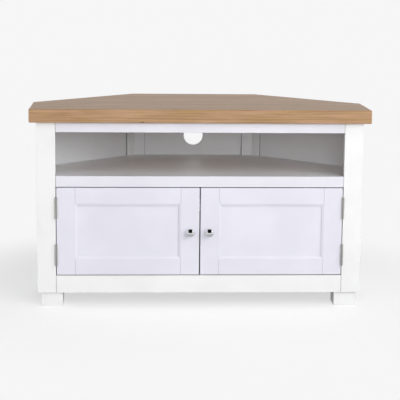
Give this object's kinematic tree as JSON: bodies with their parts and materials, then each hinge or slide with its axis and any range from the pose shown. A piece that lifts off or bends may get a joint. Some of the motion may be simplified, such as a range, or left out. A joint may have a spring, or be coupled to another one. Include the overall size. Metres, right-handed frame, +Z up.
{
  "type": "corner television cabinet",
  "caption": "Corner television cabinet with a thick oak top on a white painted face frame, an open media bay and two inset panelled doors on butt hinges.",
  "frame": {"origin": "centre of the whole object's box at floor level", "axes": "+Z up, +X along the long front towards the viewer's right, +Y from the front to the corner"},
  "size_m": [1, 0.52, 0.59],
  "materials": {
    "oak": "satin lacquered oak",
    "white_paint": "satin white paint",
    "inner_paint": "satin white paint",
    "bare_wood": "planed softwood",
    "nickel": "dull nickel plate",
    "chrome": "polished chrome",
    "white_plastic": "moulded white plastic"
  },
  "bodies": {
    "cabinet": {"top_board": "oak", "top_rail": "white_paint", "shelf_rail": "white_paint", "bottom_rail": "white_paint", "back_panel": "white_paint", "media_shelf": "inner_paint", "base_panel": "inner_paint", "centre_partition": "inner_paint", "top_batten_front": "bare_wood", "top_batten_back": "bare_wood", "catch_body": "white_plastic", "frame_stile_right": "white_paint", "frame_stile_left": "white_paint", "return_side_right": "white_paint", "return_side_left": "white_paint", "angled_side_right": "white_paint", "angled_side_left": "white_paint", "rear_post_right": "white_paint", "rear_post_left": "white_paint", "top_batten_right": "bare_wood", "top_batten_left": "bare_wood", "shelf_batten_right": "bare_wood", "shelf_batten_left": "bare_wood", "front_foot_right": "white_paint", "front_foot_left": "white_paint", "rear_foot_right": "white_paint", "rear_foot_left": "white_paint", "front_block_right": "bare_wood", "front_block_left": "bare_wood", "rear_block_right": "bare_wood", "rear_block_left": "bare_wood", "upper_hinge_frame_leaf_right": "nickel", "upper_hinge_frame_leaf_left": "nickel", "upper_hinge_pin_right": "nickel", "upper_hinge_pin_left": "nickel", "lower_hinge_frame_leaf_right": "nickel", "lower_hinge_frame_leaf_left": "nickel", "lower_hinge_pin_right": "nickel", "lower_hinge_pin_left": "nickel"},
    "left_door": {"door_hinge_stile_left": "white_paint", "door_meeting_stile_left": "white_paint", "door_top_rail_left": "white_paint", "door_bottom_rail_left": "white_paint", "door_panel_left": "white_paint", "upper_hinge_door_leaf_left": "nickel", "lower_hinge_door_leaf_left": "nickel", "knob_left": "chrome", "knob_screw_left": "nickel", "strike_plate_left": "nickel"},
    "right_door": {"door_hinge_stile_right": "white_paint", "door_meeting_stile_right": "white_paint", "door_top_rail_right": "white_paint", "door_bottom_rail_right": "white_paint", "door_panel_right": "white_paint", "upper_hinge_door_leaf_right": "nickel", "lower_hinge_door_leaf_right": "nickel", "knob_right": "chrome", "knob_screw_right": "nickel", "strike_plate_right": "nickel"}
  },
  "joints": [
    {"name": "left_door_hinge", "type": "hinge", "parent": "cabinet", "child": "left_door", "pos_m": [-0.4237, -0.238, 0.227], "axis": [0, 0, -1], "range_deg": [0, 170]},
    {"name": "right_door_hinge", "type": "hinge", "parent": "cabinet", "child": "right_door", "pos_m": [0.4237, -0.238, 0.227], "axis": [0, 0, 1], "range_deg": [0, 170]}
  ]
}
